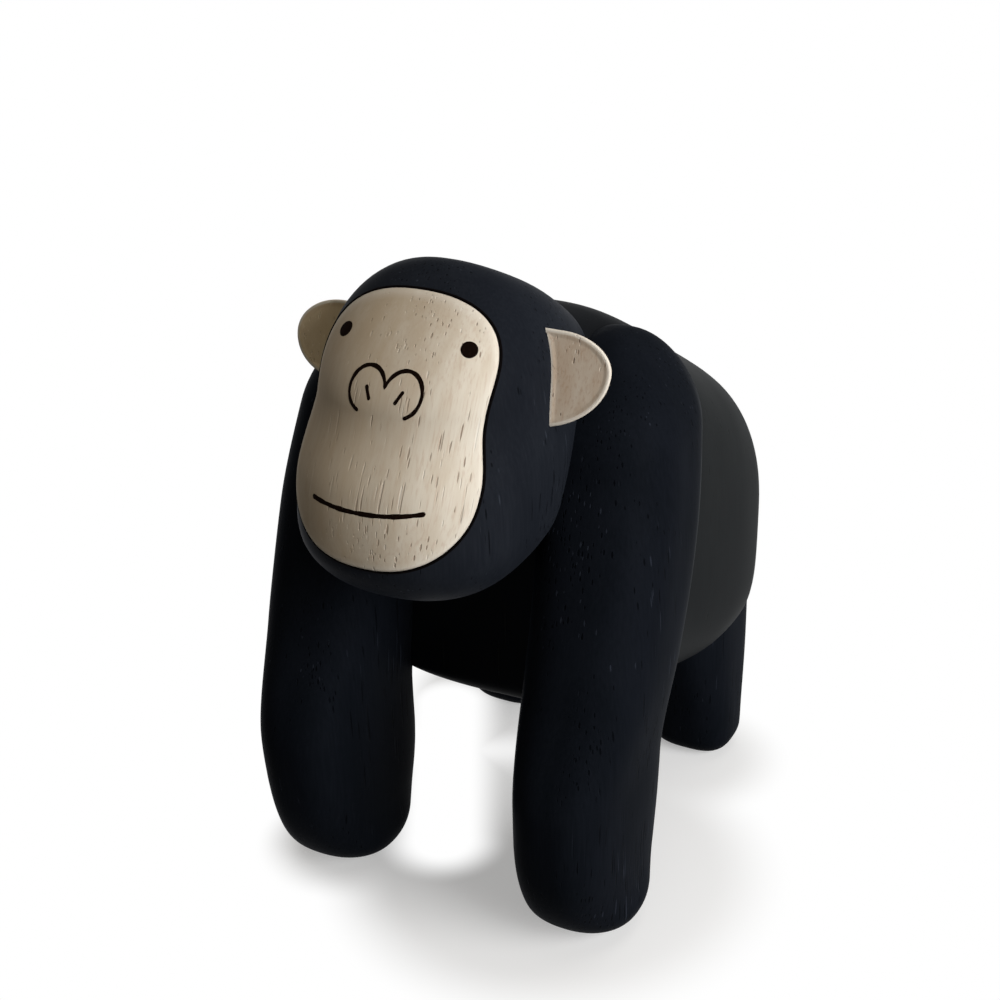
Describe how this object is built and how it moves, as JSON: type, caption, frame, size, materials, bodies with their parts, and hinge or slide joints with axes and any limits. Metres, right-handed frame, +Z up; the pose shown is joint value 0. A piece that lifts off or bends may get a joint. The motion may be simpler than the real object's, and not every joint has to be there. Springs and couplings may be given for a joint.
{
  "type": "ape figurine",
  "caption": "Small carved wooden ape ornament on straight arms and short rear legs, with a black painted body, a grey back, and a bare wood face and ears.",
  "frame": {"origin": "on the ground, under the middle of the figure's bounding box", "axes": "+Z up, -Y the way that the face looks, +X to the figure's own left"},
  "size_m": [0.046, 0.0705, 0.075],
  "materials": {
    "grey_paint": "smooth matte charcoal-grey paint over wood on the back and flanks, black in front and below",
    "black_paint": "matte blue-black paint that leaves the wood's pores showing",
    "bare_wood": "bare pale wood with fine upright pores, sanded smooth",
    "dark_line": "dark brown line let into the wood, matte",
    "dowel_wood": "plain beech dowel, glued in"
  },
  "bodies": {
    "root": {"trunk": "grey_paint", "head": "black_paint", "face_panel": "bare_wood", "ear_left": "bare_wood", "ear_right": "bare_wood", "arm_left": "black_paint", "arm_right": "black_paint", "leg_left": "black_paint", "leg_right": "black_paint", "eye_left": "dark_line", "eye_right": "dark_line", "nose_line": "dark_line", "nostril_left": "dark_line", "nostril_right": "dark_line", "mouth_line": "dark_line", "neck_dowel": "dowel_wood", "arm_dowels": "dowel_wood", "leg_dowels": "dowel_wood"}
  },
  "joints": []
}
